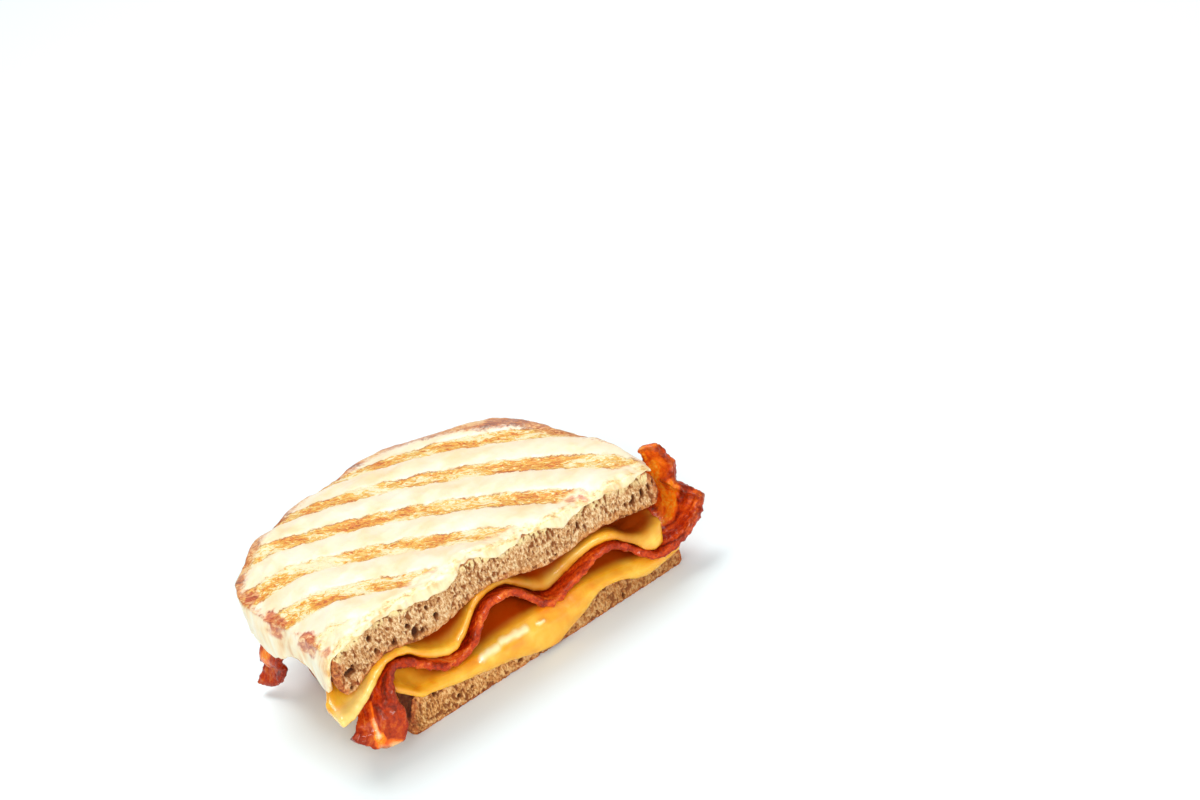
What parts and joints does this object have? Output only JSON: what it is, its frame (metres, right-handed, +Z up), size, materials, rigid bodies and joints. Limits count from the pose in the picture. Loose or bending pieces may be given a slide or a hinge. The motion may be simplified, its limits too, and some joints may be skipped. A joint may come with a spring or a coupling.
{
  "type": "bacon grilled cheese sandwich half",
  "caption": "Half of a pressed grilled cheese sandwich with bacon and cheddar, cut face shown, grill marks in the melted white cheese on top.",
  "frame": {"origin": "centre of the bounding box at the flat underside of the lower slice", "axes": "+X along the cut face from left to right as the cut is looked at, +Y from the cut face to the rounded back, +Z up"},
  "size_m": [0.1336, 0.1008, 0.0448],
  "materials": {
    "bread": "open crumb with browned crust",
    "white_cheese": "melted white cheese with golden grill marks",
    "cheddar": "glossy melted cheddar",
    "bacon": "crisp fried bacon with amber fat"
  },
  "bodies": {
    "root": {"bread_top": "bread", "bread_bottom": "bread", "grilled_cheese": "white_cheese", "cheddar_top": "cheddar", "cheddar_bottom": "cheddar", "bacon_front": "bacon", "bacon_back": "bacon"}
  },
  "joints": []
}
